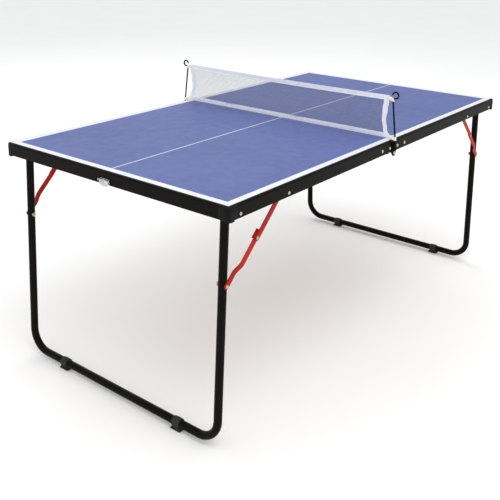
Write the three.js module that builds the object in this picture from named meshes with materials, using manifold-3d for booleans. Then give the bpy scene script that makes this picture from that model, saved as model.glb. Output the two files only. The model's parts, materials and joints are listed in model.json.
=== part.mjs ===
// Folding ping pong table: two framed half tops hinged at the net line, two U-shaped tube legs
// with jointed red braces, a removable net on wire posts, and a draw latch for the folded case.
//
// Millimetres, +Z up. The origin is on the floor under the middle of the table, +X runs along
// its length and +Y across it to the back. Each half is built as the left (-X) one, and the
// right half is the same group turned half a turn about Z.

import * as THREE from 'three';
import { mergeVertices } from 'three/addons/utils/BufferGeometryUtils.js';
import Module from 'manifold-3d';

const wasm = await Module();
wasm.setup();

// ---------------------------------------------------------------- driving dimensions

const tableLength = 1524;
const tableWidth = 838;
const tableHeight = 665;
const clearance = 0.3;
const seamGap = 1;
const smallSides = 10;
const tubeSides = 14;
const curveSteps = 3;
const roundEndSteps = 6;
const bendSteps = 6;
const eyeSteps = 11;

const boardThickness = 10;
const railHeight = 36;
const railThickness = 18;
const railWall = 2;
const lipWidth = 7;
const edgeRadius = 6;
const cornerLength = 32;
const cornerRadius = 9;

const tubeRadius = 11;
const tubeWall = 1.5;
const legSpacing = 372;
const legInset = 42;
const legSplay = 30;
const legBendRadius = 62;
const legStub = 11;
const pivotDrop = 26;
const barHeight = 20;
const footSpacing = { front: 235, back: 222 };
const footCollarWall = 2.5;
const footCollarReach = 13;
const footPad = { halfWidth: 12, reach: 17, height: 9 };

const boltRadius = 3;
const holeRadius = 3.3;
const rivetHeadRadius = 4.5;
const rivetHeadHeight = 2.2;
const nutRadius = 5.5;
const nutThickness = 4;
const nutSides = 6;
const spacerRadius = 6;
const washerRadius = 5.5;
const washerThickness = 1.6;
const kneeHead = { radius: 5, height: 1.4 };
const legBoltHead = { radius: 6, height: 3.2 };
const hingeBoltHead = { radius: 6.5, height: 3 };
const weld = 0.2;
const reach = 1;

const braceRun = 188;
const braceLegReach = 191;
const braceSplit = 0.4945;
const braceWidth = 16;
const braceThickness = 3;
const braceRailGap = 2.3;
const joggleStart = 39;
const joggleEnd = 64;
const stopPlate = { before: 3, after: 10, offset: 2.5, radius: 8.5 };
const stopFlange = { near: 8.6, far: 11, depth: 4.5 };

const hingeDrop = 39.5;
const hingeLeafThickness = 2.5;
const hingeLeafLength = 88;
const hingeRivetPlaces = [22, 67];
const hingeRivetDrop = 22;
const hingeEarRadius = 10;
const hingeLeafTop = 15;
const hingeLeafBottom = 33;
const hingeLeafGap = 1;
const earStrapLength = 20;
const earStrapTop = 30;
const earSides = 16;
const hingeStackWidth = 12;

const postX = -6;
const postRadius = 2.5;
const sleeveRadius = 5.6;
const sleeveDepth = 24;
const sleeveFloor = 4;
const socketSlack = 0.35;
const bracketDrop = 4;
const bracketEnds = [-16, 6];
const bracketStud = { x: -10.5, drop: 20, depth: 4 };
const postLean = 14;
const leanLift = 4;
const postTop = 122;
const netTop = 132;
const netBottom = 4;
const netThickness = 2;
const netHalfSpan = 404;
const eyeRadius = 9.5;
const eyeOffset = 0.8;
const eyeLift = 3;
const eyeStart = -1.85;
const eyeLead = { slope: 0.6, drop: 2 };

const latchY = -3;
const latchHalfWidth = 24;
const latchReach = 10;
const latchStudRadius = 2;
const latchStudSpacing = 13;
const latchStudDrop = 29;
const latchPlateThickness = 1.5;
const latchPinDrop = 24;
const latchPinStandoff = 5.4;
const latchPinRadius = 1.5;
const latchPinOverhang = 1.5;
const latchPlateTop = 20;
const latchPlateBottom = 35;
const latchEarWidth = 2;
const latchEarRise = 3;
const latchBarrelRadius = 3;
const leverOutline = {
  front: [-1.4, 1],
  frontBow: [-5, -5],
  frontNeck: [-2.4, -12],
  lipFront: [-4.4, -15.2],
  lipBack: [-2.9, -15.8],
  backNeck: [-0.7, -12],
  backBow: [-3, -6],
  back: [1, -1.6],
};
const keeperHalfWidth = 12;
const keeperShelf = { top: 28, bottom: 30 };
const keeperLip = { top: 22, thickness: 2 };

// ---------------------------------------------------------------- places worked out from them

const halfLength = tableLength / 2;
const halfWidth = tableWidth / 2;
const railInner = halfWidth - railThickness;
const pivotX = -halfLength + legInset;
const pivotZ = tableHeight - pivotDrop;
const barX = pivotX - legSplay;
const hingeZ = tableHeight - hingeDrop;
const tubeOuter = legSpacing + tubeRadius;
const boardSlot = boardThickness + clearance;
const latchPinX = -halfLength - latchPinStandoff;
const latchPinZ = tableHeight - latchPinDrop;
const latchEarInner = latchHalfWidth - latchEarWidth;
const latchLeverHalf = latchEarInner - clearance;

const legDrop = pivotZ - barHeight;
const legLength = Math.hypot(legDrop, legSplay);
const legDirection = new THREE.Vector3(-legSplay, 0, -legDrop).normalize();

const braceTop = new THREE.Vector3(pivotX + braceRun, 0, pivotZ);
const braceFoot = new THREE.Vector3(pivotX, 0, pivotZ).addScaledVector(legDirection, braceLegReach);
const braceJoint = braceTop.clone().lerp(braceFoot, braceSplit);
const upperLayer = railInner - braceRailGap - braceThickness;
const lowerLayer = upperLayer - clearance - braceThickness;
const footLayer = tubeOuter + clearance;

// ---------------------------------------------------------------- materials

function paint(color, roughness, metalness) {
  return new THREE.MeshStandardMaterial({ color, roughness, metalness });
}

const materials = {
  blueTop: () => paint(0x7681b6, 0.45, 0),
  blackSteel: () => paint(0x1c1a17, 0.4, 0.3),
  blackPlastic: () => paint(0x161616, 0.5, 0),
  redSteel: () => paint(0xbe2d1e, 0.4, 0.3),
  brightSteel: () => paint(0xc9c4b4, 0.3, 1),
  chrome: () => paint(0xe6e8ea, 0.12, 1),
  rubber: () => paint(0x141414, 0.8, 0),
  netFabric: () => paint(0xeceef2, 0.9, 0),
};

// ---------------------------------------------------------------- shape helpers

function toSolid(geometry) {
  const bare = geometry.clone();
  bare.deleteAttribute('normal');
  bare.deleteAttribute('uv');
  const merged = mergeVertices(bare, 1e-4);
  return new wasm.Manifold(new wasm.Mesh({
    numProp: 3,
    vertProperties: merged.attributes.position.array,
    triVerts: Uint32Array.from(merged.index.array),
  }));
}

function toGeometry(solid) {
  const mesh = solid.getMesh();
  const geometry = new THREE.BufferGeometry();
  const positions = Float32Array.from(mesh.vertProperties);
  geometry.setAttribute('position', new THREE.BufferAttribute(positions, mesh.numProp));
  geometry.setIndex(new THREE.BufferAttribute(Uint32Array.from(mesh.triVerts), 1));
  geometry.computeVertexNormals();
  return geometry;
}

function join(...geometries) {
  return toGeometry(geometries.map(toSolid).reduce((sum, solid) => sum.add(solid)));
}

function cut(geometry, ...tools) {
  return toGeometry(tools.map(toSolid).reduce((rest, tool) => rest.subtract(tool), toSolid(geometry)));
}

function common(...geometries) {
  return toGeometry(geometries.map(toSolid).reduce((rest, solid) => rest.intersect(solid)));
}

// A box given by its lowest and highest corner, in either order.
function boxBetween([x0, y0, z0], [x1, y1, z1]) {
  const size = [Math.abs(x1 - x0), Math.abs(y1 - y0), Math.abs(z1 - z0)];
  const box = new THREE.BoxGeometry(...size);
  return box.translate((x0 + x1) / 2, (y0 + y1) / 2, (z0 + z1) / 2);
}

// A round bar along Y between two distances from the middle, on the side that `side` names.
function barAlongY(radius, side, near, far, x, z, sides = smallSides) {
  const bar = new THREE.CylinderGeometry(radius, radius, Math.abs(far - near), sides);
  return bar.translate(x, side * (near + far) / 2, z);
}

// A domed rivet head whose flat side is at `base`, pointing away from the middle.
function headAlongY(radius, height, side, base, x, z) {
  const profile = [
    new THREE.Vector2(0, 0),
    new THREE.Vector2(radius, 0),
    new THREE.Vector2(radius * 0.86, height * 0.55),
    new THREE.Vector2(radius * 0.5, height * 0.92),
    new THREE.Vector2(0, height),
  ];
  const head = new THREE.LatheGeometry(profile, smallSides);
  if (side < 0) {
    head.rotateX(Math.PI);
  }
  return head.translate(x, side * base, z);
}

// A nut on the middle side of a part, with its flat face at `inner`.
function nutAlongY(side, inner, x, z) {
  return barAlongY(nutRadius, side, inner - nutThickness, inner, x, z, nutSides);
}

function barAlongX(radius, x0, x1, y, z, sides = smallSides) {
  const bar = new THREE.CylinderGeometry(radius, radius, Math.abs(x1 - x0), sides);
  return bar.rotateZ(Math.PI / 2).translate((x0 + x1) / 2, y, z);
}

// Extrudes a section whose x points along `inward` and whose y points up, centred on the origin.
function sweepSection(section, length, inward) {
  const geometry = new THREE.ExtrudeGeometry(section, {
    depth: length,
    bevelEnabled: false,
    curveSegments: curveSteps,
  });
  geometry.translate(0, 0, -length / 2);
  const up = new THREE.Vector3(0, 0, 1);
  const along = new THREE.Vector3().crossVectors(inward, up);
  return geometry.applyMatrix4(new THREE.Matrix4().makeBasis(inward, up, along));
}

function rectangle(x0, y0, x1, y1, Kind = THREE.Path) {
  const path = new Kind();
  path.moveTo(x0, y0);
  path.lineTo(x1, y0);
  path.lineTo(x1, y1);
  path.lineTo(x0, y1);
  path.closePath();
  return path;
}

function ring(outer, inner, sides) {
  const shape = new THREE.Shape();
  shape.absarc(0, 0, outer, 0, 2 * Math.PI);
  if (inner > 0) {
    const hole = new THREE.Path();
    hole.absarc(0, 0, inner, 0, 2 * Math.PI);
    shape.holes.push(hole);
  }
  return { shape, curveSegments: sides };
}

// A tube path that steps only where it is told to, so straight runs take one step each.
class StationPath extends THREE.Curve {
  constructor(stations) {
    super();
    this.stations = stations;
  }

  station(u) {
    return this.stations[Math.round(u * (this.stations.length - 1))];
  }

  getPointAt(u, target = new THREE.Vector3()) {
    return target.copy(this.station(u).point);
  }

  getTangentAt(u, target = new THREE.Vector3()) {
    return target.copy(this.station(u).tangent);
  }
}

function tubeAlong(stations, outer, inner, sides) {
  const section = ring(outer, inner, sides);
  return new THREE.ExtrudeGeometry(section.shape, {
    steps: stations.length - 1,
    curveSegments: section.curveSegments,
    extrudePath: new StationPath(stations),
  });
}

// Stations on an arc in the YZ plane, with angles from +Y towards +Z.
function arcStations(centerY, centerZ, radius, from, to, count, x = 0) {
  const turn = Math.sign(to - from);
  return Array.from({ length: count + 1 }, (_, i) => {
    const angle = from + (to - from) * i / count;
    const outward = new THREE.Vector3(0, Math.cos(angle), Math.sin(angle));
    return {
      point: new THREE.Vector3(x, centerY, centerZ).addScaledVector(outward, radius),
      tangent: new THREE.Vector3(0, -turn * Math.sin(angle), turn * Math.cos(angle)),
    };
  });
}

// ---------------------------------------------------------------- frame of a half

// A side or end rail: outer face at x = 0, a rounded top edge, a lip beside the board, a ledge
// under it and a hollow below.
function railSection() {
  const shape = new THREE.Shape();
  shape.moveTo(0, -railHeight);
  shape.lineTo(railThickness, -railHeight);
  shape.lineTo(railThickness, -boardSlot);
  shape.lineTo(lipWidth, -boardSlot);
  shape.lineTo(lipWidth, 0);
  shape.lineTo(edgeRadius, 0);
  shape.absarc(edgeRadius, -edgeRadius, edgeRadius, Math.PI / 2, Math.PI, false);
  shape.closePath();
  const hollowTop = -boardSlot - railWall;
  shape.holes.push(rectangle(railWall, -railHeight + railWall, railThickness - railWall, hollowTop));
  return shape;
}

function sideRail(side) {
  const from = -halfLength + cornerLength + clearance;
  const to = -seamGap / 2;
  const rail = sweepSection(railSection(), to - from, new THREE.Vector3(0, -side, 0));
  rail.translate((from + to) / 2, side * halfWidth, tableHeight);
  const places = [pivotX, braceTop.x, ...hingeRivetPlaces.map((x) => -x)];
  const heights = [pivotZ, pivotZ, tableHeight - hingeRivetDrop, tableHeight - hingeRivetDrop];
  const holes = places.map((x, i) => {
    return barAlongY(holeRadius, side, railInner - reach, halfWidth + reach, x, heights[i]);
  });
  return cut(rail, ...holes);
}

function endRail(studY) {
  const length = 2 * (halfWidth - cornerLength - clearance);
  const rail = sweepSection(railSection(), length, new THREE.Vector3(1, 0, 0));
  rail.translate(-halfLength, 0, tableHeight);
  const holes = latchStudPlaces(studY).map(([y, z]) => {
    const [outside, inside] = [-halfLength - reach, -halfLength + 2 * railWall];
    return barAlongX(latchStudRadius + clearance, outside, inside, y, z);
  });
  return cut(rail, ...holes);
}

function seamRail() {
  const height = railHeight - boardSlot;
  const section = rectangle(0, -height, railThickness, 0, THREE.Shape);
  const far = railThickness - railWall;
  section.holes.push(rectangle(railWall, -height + railWall, far, -railWall));
  const length = 2 * (railInner - hingeStackWidth);
  const rail = sweepSection(section, length, new THREE.Vector3(-1, 0, 0));
  return rail.translate(-seamGap / 2, 0, tableHeight - boardSlot);
}

// The outside of the whole table top, rounded along its top edge and at its four corners.
function topEnvelope() {
  const across = (half) => {
    const shape = new THREE.Shape();
    shape.moveTo(-half, -railHeight);
    shape.lineTo(half, -railHeight);
    shape.lineTo(half, -edgeRadius);
    shape.absarc(half - edgeRadius, -edgeRadius, edgeRadius, 0, Math.PI / 2, false);
    shape.lineTo(-half + edgeRadius, 0);
    shape.absarc(-half + edgeRadius, -edgeRadius, edgeRadius, Math.PI / 2, Math.PI, false);
    shape.closePath();
    return shape;
  };
  const lengthwise = sweepSection(across(halfWidth), tableLength + 2 * reach, new THREE.Vector3(0, 1, 0));
  const crosswise = sweepSection(across(halfLength), tableWidth + 2 * reach, new THREE.Vector3(1, 0, 0));
  const plan = new THREE.Shape();
  const [x, y] = [halfLength - cornerRadius, halfWidth - cornerRadius];
  plan.absarc(x, y, cornerRadius, 0, Math.PI / 2, false);
  plan.absarc(-x, y, cornerRadius, Math.PI / 2, Math.PI, false);
  plan.absarc(-x, -y, cornerRadius, Math.PI, 1.5 * Math.PI, false);
  plan.absarc(x, -y, cornerRadius, 1.5 * Math.PI, 2 * Math.PI, false);
  plan.closePath();
  const upright = new THREE.ExtrudeGeometry(plan, {
    depth: railHeight + 2 * reach,
    bevelEnabled: false,
    curveSegments: curveSteps,
  });
  upright.translate(0, 0, -railHeight - reach);
  return common(lengthwise, crosswise, upright).translate(0, 0, tableHeight);
}

function cornerCap(side) {
  const [low, high] = [tableHeight - railHeight, tableHeight];
  const outerX = -halfLength;
  const alongX = boxBetween(
    [outerX, side * railInner, low],
    [outerX + cornerLength, side * halfWidth, high],
  );
  const alongY = boxBetween(
    [outerX, side * (halfWidth - cornerLength), low],
    [outerX + railThickness, side * halfWidth, high],
  );
  const boardCorner = boxBetween(
    [outerX + lipWidth, side * (halfWidth - lipWidth), high - boardSlot],
    [0, 0, high + reach],
  );
  return common(cut(join(alongX, alongY), boardCorner), topEnvelope());
}

function board() {
  const edge = lipWidth + clearance;
  return boxBetween(
    [-halfLength + edge, -halfWidth + edge, tableHeight - boardThickness],
    [-seamGap / 2, halfWidth - edge, tableHeight],
  );
}

// ---------------------------------------------------------------- pivots and rivets

// Bolt that carries the top of a leg: dome outside the rail, spacer, shank and inner nut.
function legPivotBolt(side) {
  const inner = legSpacing - tubeRadius - clearance;
  const outer = halfWidth + clearance;
  const at = [pivotX, pivotZ];
  return join(
    headAlongY(rivetHeadRadius, rivetHeadHeight, side, outer, ...at),
    barAlongY(boltRadius, side, inner - nutThickness / 2, outer + weld, ...at),
    barAlongY(spacerRadius, side, tubeOuter + clearance, railInner - clearance, ...at),
    nutAlongY(side, inner, ...at),
  );
}

// Rivet that holds the upper brace link to the rail.
function braceRailRivet(side) {
  const at = [braceTop.x, braceTop.z];
  const inner = upperLayer - clearance;
  const outer = halfWidth + clearance;
  const linkOuter = upperLayer + braceThickness + clearance;
  return join(
    headAlongY(rivetHeadRadius, rivetHeadHeight, side, outer, ...at),
    barAlongY(boltRadius, side, inner - washerThickness / 2, outer + weld, ...at),
    barAlongY(washerRadius, side, linkOuter, railInner - clearance, ...at),
    barAlongY(washerRadius, side, inner - washerThickness, inner, ...at),
  );
}

// Bolt through the leg tube that holds the lower end of the brace.
function braceLegBolt(side) {
  const at = [braceFoot.x, braceFoot.z];
  const inner = legSpacing - tubeRadius - clearance;
  const outer = footLayer + braceThickness + clearance;
  return join(
    headAlongY(legBoltHead.radius, legBoltHead.height, side, outer, ...at),
    barAlongY(boltRadius, side, inner - nutThickness / 2, outer + weld, ...at),
    nutAlongY(side, inner, ...at),
  );
}

// Rivet at the knee of the brace, carried by the upper link.
function kneeRivet(side) {
  const at = [braceJoint.x, braceJoint.z];
  const outer = upperLayer + braceThickness + clearance;
  return join(
    headAlongY(kneeHead.radius, kneeHead.height, side, outer, ...at),
    barAlongY(boltRadius, side, upperLayer, outer + weld, ...at),
  );
}

// ---------------------------------------------------------------- legs and feet

function legTube() {
  const straight = legLength - legBendRadius;
  const bendY = legSpacing - legBendRadius;
  const down = new THREE.Vector3(0, 0, -1);
  const up = new THREE.Vector3(0, 0, 1);
  const stations = [
    { point: new THREE.Vector3(0, -legSpacing, legStub), tangent: down },
    ...arcStations(-bendY, -straight, legBendRadius, Math.PI, 1.5 * Math.PI, bendSteps),
    ...arcStations(bendY, -straight, legBendRadius, 1.5 * Math.PI, 2 * Math.PI, bendSteps),
    { point: new THREE.Vector3(0, legSpacing, legStub), tangent: up },
  ];
  const tube = tubeAlong(stations, tubeRadius, tubeRadius - tubeWall, tubeSides / 2);
  tube.rotateY(Math.atan2(legSplay, legDrop));
  tube.translate(pivotX, 0, pivotZ);
  const holes = [-1, 1].flatMap((side) => [[pivotX, pivotZ], [braceFoot.x, braceFoot.z]].map((at) => {
    return barAlongY(holeRadius, side, legSpacing - tubeRadius - reach, tubeOuter + reach, ...at);
  }));
  return cut(tube, ...holes);
}

function foot(side, spacing) {
  const middle = side * spacing;
  const roundBar = (radius, reachY) => {
    return barAlongY(radius, 1, middle - reachY, middle + reachY, barX, barHeight, tubeSides);
  };
  const collar = roundBar(tubeRadius + footCollarWall, footCollarReach);
  const pad = boxBetween(
    [barX - footPad.halfWidth, middle - footPad.reach, 0],
    [barX + footPad.halfWidth, middle + footPad.reach, footPad.height],
  );
  return cut(join(collar, pad), roundBar(tubeRadius + clearance, footPad.reach + reach));
}

// ---------------------------------------------------------------- braces

// Turns a link drawn along +X, with its outer face towards +Z, into its place beside a leg.
function placeLink(geometry, start, end, side, layer) {
  const along = end.clone().sub(start).normalize();
  const outward = new THREE.Vector3(0, side, 0);
  const across = new THREE.Vector3().crossVectors(outward, along);
  const matrix = new THREE.Matrix4().makeBasis(along, across, outward);
  geometry.applyMatrix4(matrix);
  return geometry.translate(start.x, side * layer, start.z);
}

function strap(x0, x1, y, radius) {
  const shape = new THREE.Shape();
  shape.absarc(x1, y, radius, -Math.PI / 2, Math.PI / 2, false);
  shape.absarc(x0, y, radius, Math.PI / 2, 1.5 * Math.PI, false);
  shape.closePath();
  return shape;
}

function prism(shape, from, to) {
  const geometry = new THREE.ExtrudeGeometry(shape, {
    depth: to - from,
    bevelEnabled: false,
    curveSegments: roundEndSteps,
  });
  return geometry.translate(0, 0, from);
}

function pinHole(x) {
  const hole = new THREE.CylinderGeometry(holeRadius, holeRadius, 2 * tubeRadius, smallSides);
  return hole.rotateX(Math.PI / 2).translate(x, 0, 0);
}

function upperLink(side) {
  const length = braceTop.distanceTo(braceJoint);
  const plate = prism(strap(0, length, 0, braceWidth / 2), 0, braceThickness);
  const link = cut(plate, pinHole(0), pinHole(length));
  return placeLink(link, braceTop, braceJoint, side, upperLayer);
}

// The lower link steps outward from the leg tube to the upper link's plane, and ends in a
// broadened stop plate with a flange folded inward.
function lowerLink(side) {
  const length = braceFoot.distanceTo(braceJoint);
  const step = lowerLayer - footLayer;
  const flangeSide = -side;
  const [start, end] = [-braceWidth, length + braceWidth];
  const profile = new THREE.Shape();
  profile.moveTo(start, 0);
  profile.lineTo(joggleStart, 0);
  profile.lineTo(joggleEnd, step);
  profile.lineTo(end, step);
  profile.lineTo(end, step + braceThickness);
  profile.lineTo(joggleEnd, step + braceThickness);
  profile.lineTo(joggleStart, braceThickness);
  profile.lineTo(start, braceThickness);
  profile.closePath();
  const folded = prism(profile, -braceWidth, braceWidth).rotateX(Math.PI / 2);
  const [low, high] = [-reach, step + braceThickness + reach];
  const body = prism(strap(0, length, 0, braceWidth / 2), low, high);
  const stopEnds = [length - stopPlate.before, length + stopPlate.after];
  const stopOutline = strap(...stopEnds, flangeSide * stopPlate.offset, stopPlate.radius);
  const plate = common(folded, join(body, prism(stopOutline, low, high)));
  const flange = boxBetween(
    [stopEnds[0], flangeSide * stopFlange.near, step - stopFlange.depth],
    [stopEnds[1], flangeSide * stopFlange.far, step + braceThickness],
  );
  const link = cut(join(plate, flange), pinHole(0), pinHole(length));
  return placeLink(link, braceFoot, braceJoint, side, footLayer);
}

// ---------------------------------------------------------------- fold hinge and net brackets

// Leaf on the inner face of a side rail, with its two rivets and a round ear on the fold axis.
// The right half's leaf lies one layer further in, on spacers, so that the ears lap.
function hingeLeaf(side, layerIndex) {
  const layerPitch = hingeLeafThickness + clearance;
  const outer = railInner - clearance - layerIndex * layerPitch;
  const inner = outer - hingeLeafThickness;
  const plate = boxBetween(
    [-hingeLeafGap - hingeLeafLength, side * inner, tableHeight - hingeLeafBottom],
    [-hingeLeafGap, side * outer, tableHeight - hingeLeafTop],
  );
  const earStrap = boxBetween(
    [-earStrapLength, side * inner, hingeZ],
    [-hingeLeafGap, side * outer, tableHeight - earStrapTop],
  );
  const ear = barAlongY(hingeEarRadius, side, inner, outer, 0, hingeZ, earSides);
  const rivets = hingeRivetPlaces.flatMap((x) => {
    const at = [-x, tableHeight - hingeRivetDrop];
    const parts = [
      headAlongY(rivetHeadRadius, rivetHeadHeight, side, halfWidth + clearance, ...at),
      barAlongY(boltRadius, side, inner, halfWidth + clearance + weld, ...at),
    ];
    if (layerIndex > 0) {
      parts.push(barAlongY(spacerRadius, side, outer - weld, railInner - clearance, ...at));
    }
    return parts;
  });
  const bore = barAlongY(holeRadius, side, inner - reach, outer + reach, 0, hingeZ);
  return cut(join(plate, earStrap, ear, ...rivets), bore);
}

function hingeBolt(side) {
  const at = [0, hingeZ];
  const outer = halfWidth + 2 * clearance + hingeLeafThickness;
  const inner = railInner - 3 * clearance - 2 * hingeLeafThickness;
  return join(
    headAlongY(hingeBoltHead.radius, hingeBoltHead.height, side, outer, ...at),
    barAlongY(boltRadius, side, inner - nutThickness / 2, outer + weld, ...at),
    nutAlongY(side, inner, ...at),
  );
}

// Plate on the outer face at the seam: a sleeve for the net post above, and a round ear below
// that holds the outer end of the hinge bolt.
function netBracket(side) {
  const inner = halfWidth + clearance;
  const outer = inner + hingeLeafThickness;
  const top = tableHeight - bracketDrop;
  const [endX, seamX] = bracketEnds;
  const plate = boxBetween([endX, side * inner, hingeZ], [seamX, side * outer, top]);
  const ear = barAlongY(hingeEarRadius + 1, side, inner, outer, 0, hingeZ, earSides);
  const studAt = [bracketStud.x, tableHeight - bracketStud.drop];
  const stud = barAlongY(boltRadius, side, halfWidth - bracketStud.depth, inner + weld, ...studAt);
  const upright = (radius, bottom, topZ) => {
    const bar = new THREE.CylinderGeometry(radius, radius, topZ - bottom, tubeSides);
    bar.rotateX(Math.PI / 2);
    return bar.translate(postX, side * (inner + sleeveRadius), (topZ + bottom) / 2);
  };
  const sleeve = upright(sleeveRadius, top - sleeveDepth - sleeveFloor, top);
  const socket = upright(postRadius + socketSlack, top - sleeveDepth, top + reach);
  const bore = barAlongY(holeRadius, side, inner - reach, outer + reach, 0, hingeZ);
  return cut(join(plate, ear, stud, sleeve), socket, bore);
}

function bracketHole(side) {
  const at = [bracketStud.x, tableHeight - bracketStud.drop];
  const bottom = halfWidth - bracketStud.depth - reach;
  return barAlongY(holeRadius, side, bottom, halfWidth + reach, ...at);
}

// ---------------------------------------------------------------- net

// Wire post: straight in its sleeve, leaning in above the table, and curled into an eye.
function netPost(side) {
  const standY = halfWidth + clearance + sleeveRadius;
  const topY = standY - postLean;
  const top = tableHeight + postTop;
  const eyeY = topY + eyeOffset * eyeRadius;
  const eyeZ = top + eyeRadius + eyeLift;
  const foot = tableHeight - bracketDrop - sleeveDepth + clearance;
  const upright = new THREE.Vector3(0, 0, 1);
  const leanFrom = new THREE.Vector3(0, standY, tableHeight + leanLift);
  const leanTo = new THREE.Vector3(0, topY, top - eyeLead.drop);
  const lean = leanTo.clone().sub(leanFrom).normalize();
  const toEye = new THREE.Vector3(0, eyeLead.slope, 1).normalize();
  const stations = [
    { point: new THREE.Vector3(0, standY, foot), tangent: upright },
    { point: leanFrom, tangent: upright.clone().add(lean).normalize() },
    { point: leanTo, tangent: lean.clone().add(toEye).normalize() },
    ...arcStations(eyeY, eyeZ, eyeRadius, eyeStart, Math.PI, eyeSteps),
  ];
  const post = tubeAlong(stations, postRadius, 0, 4);
  if (side < 0) {
    post.rotateZ(Math.PI);
  }
  return post.translate(postX, 0, 0);
}

function netPanel() {
  return boxBetween(
    [postX - netThickness / 2, -netHalfSpan, tableHeight + netBottom],
    [postX + netThickness / 2, netHalfSpan, tableHeight + netTop],
  );
}

// ---------------------------------------------------------------- draw latch

function latchStudPlaces(y) {
  return [-1, 1].map((end) => [y + end * latchStudSpacing, tableHeight - latchStudDrop]);
}

function latchPlate(y) {
  const back = -halfLength - clearance;
  const front = back - latchPlateThickness;
  const [bottom, top] = [tableHeight - latchPlateBottom, tableHeight - latchPlateTop];
  const plate = boxBetween([front, y - latchHalfWidth, bottom], [back, y + latchHalfWidth, top]);
  const studs = latchStudPlaces(y).map(([studY, studZ]) => {
    return barAlongX(latchStudRadius, front + weld, -halfLength + 1.5 * railWall, studY, studZ);
  });
  return join(plate, ...studs);
}

// A bar on the pin's axis, as far to each side of the latch's middle as `reachY`.
function latchBar(radius, reachY) {
  return barAlongY(radius, 1, latchY - reachY, latchY + reachY, latchPinX, latchPinZ);
}

function latchBase() {
  const ears = [-1, 1].map((end) => boxBetween(
    [latchPinX - latchEarRise, latchY + end * latchHalfWidth, latchPinZ - latchEarRise],
    [-halfLength - clearance - weld, latchY + end * latchEarInner, latchPinZ + latchEarRise],
  ));
  const bore = latchBar(latchPinRadius + clearance, latchHalfWidth + reach);
  return cut(join(latchPlate(latchY), ...ears), bore);
}

// Bowed lever that hangs from the pin and ends in a small turned-out lip.
function latchLever() {
  const { front, frontBow, frontNeck, lipFront, lipBack, backNeck, backBow, back } = leverOutline;
  const shape = new THREE.Shape();
  shape.moveTo(...front);
  shape.quadraticCurveTo(...frontBow, ...frontNeck);
  shape.lineTo(...lipFront);
  shape.lineTo(...lipBack);
  shape.lineTo(...backNeck);
  shape.quadraticCurveTo(...backBow, ...back);
  shape.closePath();
  const bow = sweepSection(shape, 2 * latchLeverHalf, new THREE.Vector3(1, 0, 0));
  bow.translate(latchPinX, latchY, latchPinZ);
  const barrel = latchBar(latchBarrelRadius, latchLeverHalf);
  return cut(join(bow, barrel), latchBar(latchPinRadius + clearance, latchHalfWidth + reach));
}

function latchPin() {
  return latchBar(latchPinRadius, latchHalfWidth + latchPinOverhang);
}

// Hook plate on the far end that the latch draws against when the table is folded.
function latchKeeper() {
  const y = -latchY;
  const tip = -halfLength - latchReach;
  const corner = [tip, y - keeperHalfWidth, tableHeight - keeperShelf.bottom];
  const shelf = boxBetween(
    corner,
    [-halfLength - latchPlateThickness, y + keeperHalfWidth, tableHeight - keeperShelf.top],
  );
  const lip = boxBetween(
    corner,
    [tip + keeperLip.thickness, y + keeperHalfWidth, tableHeight - keeperLip.top],
  );
  return join(latchPlate(y), shelf, lip);
}

// ---------------------------------------------------------------- assembly

function named(name, geometry, material) {
  const mesh = new THREE.Mesh(geometry, material());
  mesh.name = name;
  return mesh;
}

function halfTable(name) {
  const isLeft = name === 'left';
  const group = new THREE.Group();
  group.rotation.z = isLeft ? 0 : Math.PI;
  const add = (node, geometry, material) => group.add(named(`${name}_${node}`, geometry, material));
  add('board', board(), materials.blueTop);
  add('end_rail', endRail(isLeft ? latchY : -latchY), materials.blackSteel);
  add('seam_rail', seamRail(), materials.blackSteel);
  add('leg', legTube(), materials.blackSteel);
  for (const side of [-1, 1]) {
    const edge = (side < 0) === isLeft ? 'front' : 'back';
    const rail = isLeft ? cut(sideRail(side), bracketHole(side)) : sideRail(side);
    add(`${edge}_rail`, rail, materials.blackSteel);
    add(`${edge}_corner_cap`, cornerCap(side), materials.blackPlastic);
    add(`${edge}_hinge_leaf`, hingeLeaf(side, isLeft ? 0 : 1), materials.blackSteel);
    add(`${edge}_leg_pivot_bolt`, legPivotBolt(side), materials.brightSteel);
    add(`${edge}_brace_rail_rivet`, braceRailRivet(side), materials.brightSteel);
    add(`${edge}_upper_brace_link`, upperLink(side), materials.redSteel);
    add(`${edge}_brace_knee_rivet`, kneeRivet(side), materials.brightSteel);
    add(`${edge}_lower_brace_link`, lowerLink(side), materials.redSteel);
    add(`${edge}_brace_leg_bolt`, braceLegBolt(side), materials.brightSteel);
    add(`${edge}_foot`, foot(side, footSpacing[edge]), materials.rubber);
  }
  if (isLeft) {
    add('latch_base', latchBase(), materials.chrome);
    add('latch_lever', latchLever(), materials.chrome);
    add('latch_pin', latchPin(), materials.brightSteel);
  } else {
    add('latch_keeper', latchKeeper(), materials.chrome);
  }
  return group;
}

function netAndFoldAxis() {
  const group = new THREE.Group();
  group.add(named('net_panel', netPanel(), materials.netFabric));
  for (const [edge, side] of [['front', -1], ['back', 1]]) {
    group.add(named(`${edge}_net_post`, netPost(side), materials.blackSteel));
    group.add(named(`${edge}_net_bracket`, netBracket(side), materials.blackSteel));
    group.add(named(`${edge}_fold_hinge_bolt`, hingeBolt(side), materials.brightSteel));
  }
  return group;
}

const table = new THREE.Group();
table.add(halfTable('left'), halfTable('right'), netAndFoldAxis());

export default table;
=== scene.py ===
"""Looks of the folding ping pong table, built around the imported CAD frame. Metres, +Z up."""
import json
import math

import bmesh
import bpy
from mathutils import Matrix, Vector


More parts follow.
